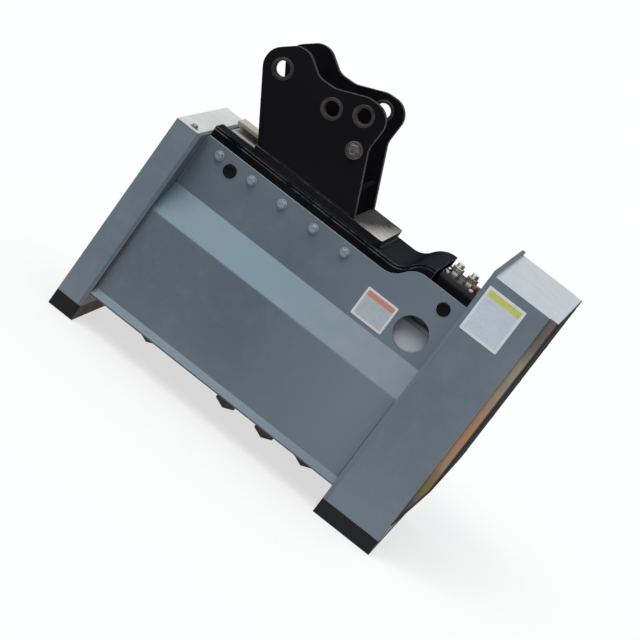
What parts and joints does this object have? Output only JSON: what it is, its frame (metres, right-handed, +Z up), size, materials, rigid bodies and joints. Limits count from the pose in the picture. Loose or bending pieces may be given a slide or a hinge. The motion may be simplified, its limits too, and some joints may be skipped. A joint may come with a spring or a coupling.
{
  "type": "excavator hammer knife mower",
  "caption": "Compact mower head with swinging hammers on a spinning drum, a belt-drive housing at one end, skids, and a pin-on hitch with ears for an excavator arm.",
  "frame": {"origin": "on the floor under the middle of the bounding box, at the soles of the skids", "axes": "X along the rotor with the belt housing at +X, +Y to the back, away from the front panel with the lip, Z up"},
  "size_m": [1.044, 0.45, 0.8892],
  "materials": {
    "housing_paint": "blue-grey gloss paint, dusty",
    "hitch_paint": "black semi-gloss paint",
    "skid_steel": "dark scuffed steel",
    "motor_paint": "black paint over cast iron",
    "fitting_steel": "zinc plated steel",
    "bearing_iron": "painted cast iron",
    "rotor_paint": "dark worn paint",
    "shaft_steel": "turned steel",
    "hammer_steel": "forged steel, worn at the edges"
  },
  "bodies": {
    "housing": {"front_panel": "housing_paint", "rear_panel": "housing_paint", "side_plate_left": "housing_paint", "side_plate_right": "housing_paint", "bearing_cover": "housing_paint", "belt_cover": "housing_paint", "skid_left": "skid_steel", "skid_right": "skid_steel", "inner_hood": "housing_paint", "deck_plate": "housing_paint", "saddle_plate": "hitch_paint", "saddle_webs": "hitch_paint", "hitch_base_plate": "hitch_paint", "ear_front": "hitch_paint", "ear_back": "hitch_paint", "ear_webs": "hitch_paint", "hydraulic_motor": "motor_paint", "motor_ports": "fitting_steel", "bearing_left": "bearing_iron", "bearing_right": "bearing_iron"},
    "rotor": {"rotor_drum": "rotor_paint", "rotor_shafts": "shaft_steel", "hammer_bolts": "shaft_steel"},
    "hammer_01": {"hammer_01": "hammer_steel"},
    "hammer_02": {"hammer_02": "hammer_steel"},
    "hammer_03": {"hammer_03": "hammer_steel"},
    "hammer_04": {"hammer_04": "hammer_steel"},
    "hammer_05": {"hammer_05": "hammer_steel"},
    "hammer_06": {"hammer_06": "hammer_steel"},
    "hammer_07": {"hammer_07": "hammer_steel"},
    "hammer_08": {"hammer_08": "hammer_steel"},
    "hammer_09": {"hammer_09": "hammer_steel"},
    "hammer_10": {"hammer_10": "hammer_steel"},
    "hammer_11": {"hammer_11": "hammer_steel"},
    "hammer_12": {"hammer_12": "hammer_steel"}
  },
  "joints": [
    {"name": "rotor_spin", "type": "hinge", "parent": "housing", "child": "rotor", "pos_m": [0, -0.02, 0.183], "axis": [1, 0, 0], "continuous": true},
    {"name": "hammer_01_swing", "type": "hinge", "parent": "rotor", "child": "hammer_01", "pos_m": [-0.409, 0.029, 0.09813], "axis": [1, 0, 0], "range_deg": [-80, 140]},
    {"name": "hammer_02_swing", "type": "hinge", "parent": "rotor", "child": "hammer_02", "pos_m": [-0.346, -0.069, 0.26787], "axis": [1, 0, 0], "range_deg": [-220, 0]},
    {"name": "hammer_03_swing", "type": "hinge", "parent": "rotor", "child": "hammer_03", "pos_m": [-0.283, -0.0893, 0.1137], "axis": [1, 0, 0], "range_deg": [-155, 65]},
    {"name": "hammer_04_swing", "type": "hinge", "parent": "rotor", "child": "hammer_04", "pos_m": [-0.22, 0.0493, 0.2523], "axis": [1, 0, 0], "range_deg": [0, 220]},
    {"name": "hammer_05_swing", "type": "hinge", "parent": "rotor", "child": "hammer_05", "pos_m": [-0.157, 0.029, 0.09813], "axis": [1, 0, 0], "range_deg": [-80, 140]},
    {"name": "hammer_06_swing", "type": "hinge", "parent": "rotor", "child": "hammer_06", "pos_m": [-0.094, -0.069, 0.26787], "axis": [1, 0, 0], "range_deg": [-220, 0]},
    {"name": "hammer_07_swing", "type": "hinge", "parent": "rotor", "child": "hammer_07", "pos_m": [-0.031, -0.04536, 0.08834], "axis": [1, 0, 0], "range_deg": [-125, 95]},
    {"name": "hammer_08_swing", "type": "hinge", "parent": "rotor", "child": "hammer_08", "pos_m": [0.032, 0.00536, 0.27766], "axis": [1, 0, 0], "range_deg": [0, 220]},
    {"name": "hammer_09_swing", "type": "hinge", "parent": "rotor", "child": "hammer_09", "pos_m": [0.095, -0.06142, 0.09418], "axis": [1, 0, 0], "range_deg": [-135, 85]},
    {"name": "hammer_10_swing", "type": "hinge", "parent": "rotor", "child": "hammer_10", "pos_m": [0.158, 0.02142, 0.27182], "axis": [1, 0, 0], "range_deg": [0, 220]},
    {"name": "hammer_11_swing", "type": "hinge", "parent": "rotor", "child": "hammer_11", "pos_m": [0.221, -0.08299, 0.10793], "axis": [1, 0, 0], "range_deg": [-150, 70]},
    {"name": "hammer_12_swing", "type": "hinge", "parent": "rotor", "child": "hammer_12", "pos_m": [0.284, 0.04299, 0.25807], "axis": [1, 0, 0], "range_deg": [0, 220]}
  ]
}
